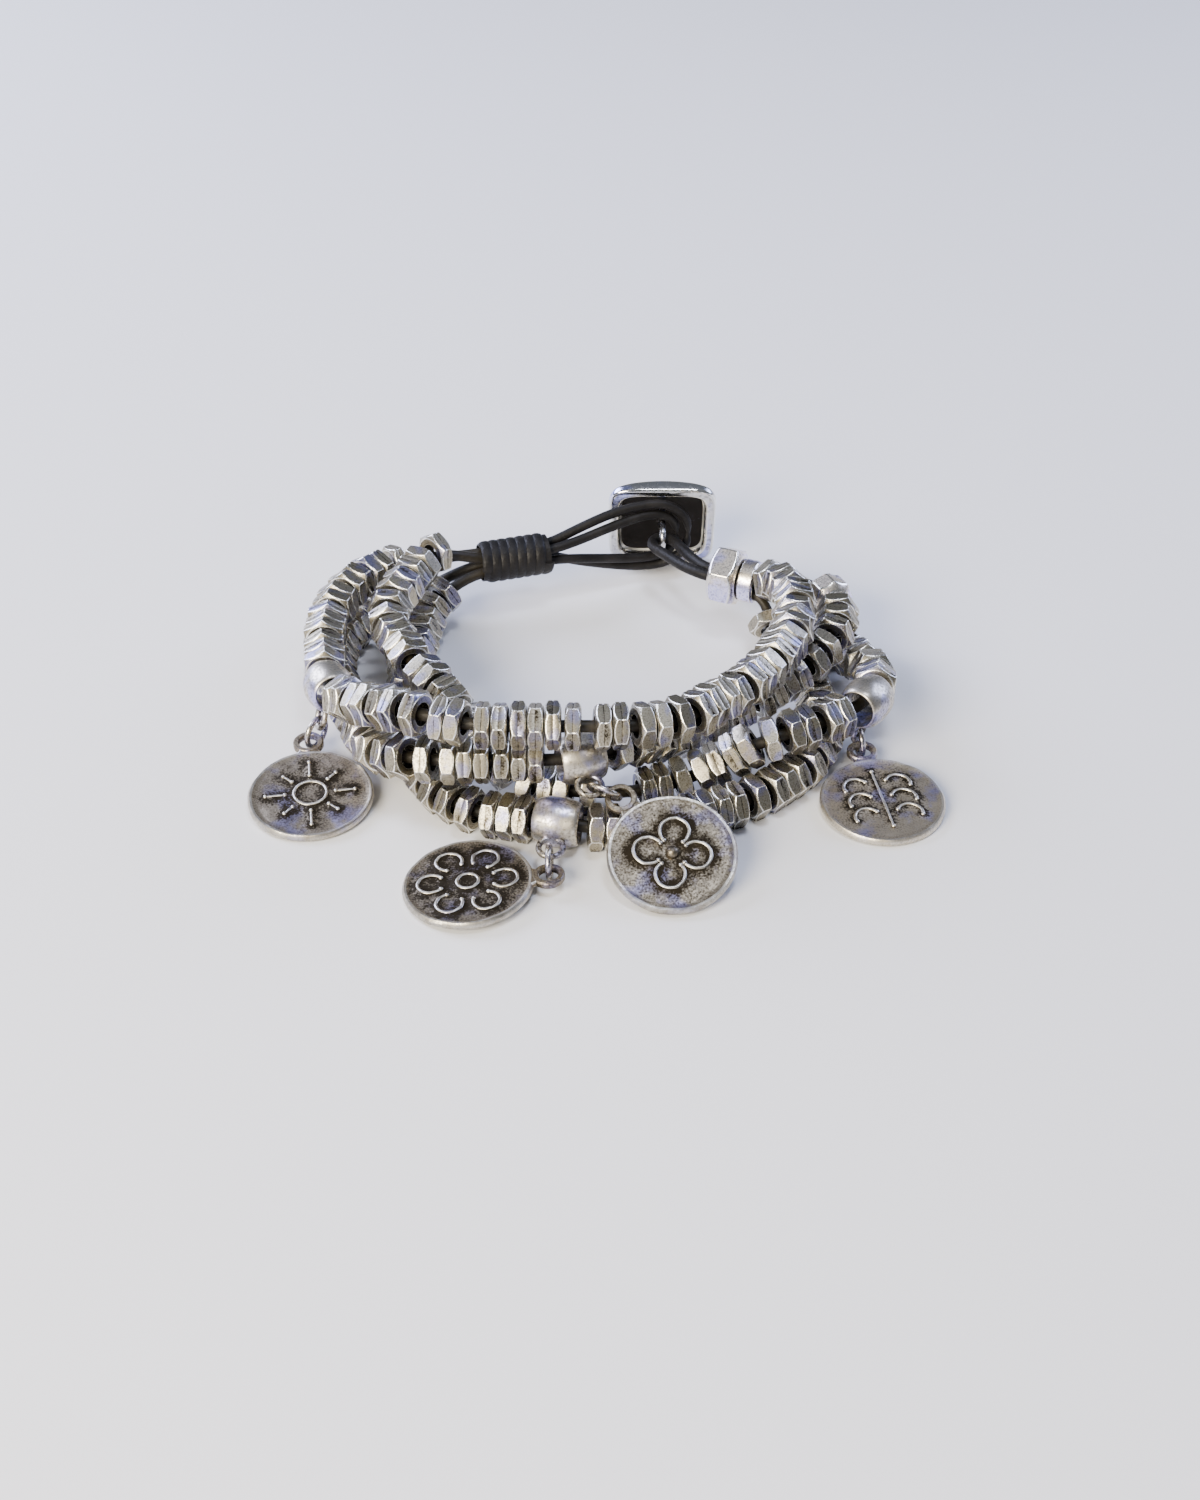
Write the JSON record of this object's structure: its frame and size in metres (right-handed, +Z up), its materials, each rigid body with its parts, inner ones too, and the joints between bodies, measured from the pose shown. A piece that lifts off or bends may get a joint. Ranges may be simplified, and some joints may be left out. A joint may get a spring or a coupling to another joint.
{
  "type": "bead and charm bracelet",
  "caption": "Multi-strand bracelet of hexagonal nut beads on leather cord, with round relief charms on jump rings and a leather loop-and-button clasp, lying open.",
  "frame": {"origin": "centre of the bracelet's box, on the surface that it lies on", "axes": "+X to the wearer's right as the picture shows it, +Y from the front charms back to the clasp, +Z up from the surface"},
  "size_m": [0.0934, 0.0908, 0.0192],
  "materials": {
    "nut_silver": "antiqued silver, brushed flats with worn bright edges",
    "bead_silver": "satin polished antiqued silver",
    "wire_silver": "satin silver wire",
    "charm_silver": "oxidised silver with bright raised relief",
    "button_silver": "polished silver",
    "strand_leather": "dark olive-brown leather cord",
    "clasp_leather": "black leather cord",
    "binding_leather": "black leather, wound"
  },
  "bodies": {
    "root": {"strand_1_nuts": "nut_silver", "strand_2_nuts": "nut_silver", "strand_3_nuts": "nut_silver", "strand_4_nuts": "nut_silver", "strand_1_cord": "strand_leather", "strand_2_cord": "strand_leather", "strand_3_cord": "strand_leather", "strand_4_cord": "strand_leather", "barrel_bead_1": "bead_silver", "barrel_bead_2": "bead_silver", "barrel_bead_3": "bead_silver", "barrel_bead_4": "bead_silver", "jump_ring_1": "wire_silver", "jump_ring_2": "wire_silver", "jump_ring_3": "wire_silver", "jump_ring_4": "wire_silver", "charm_1": "charm_silver", "charm_2": "charm_silver", "charm_3": "charm_silver", "charm_4": "charm_silver", "faceted_bead": "bead_silver", "ring_bead": "bead_silver", "end_bead": "bead_silver", "binding": "binding_leather", "clasp_loop_inner": "clasp_leather", "clasp_loop_outer": "clasp_leather", "button_cord": "clasp_leather", "button": "button_silver"}
  },
  "joints": []
}
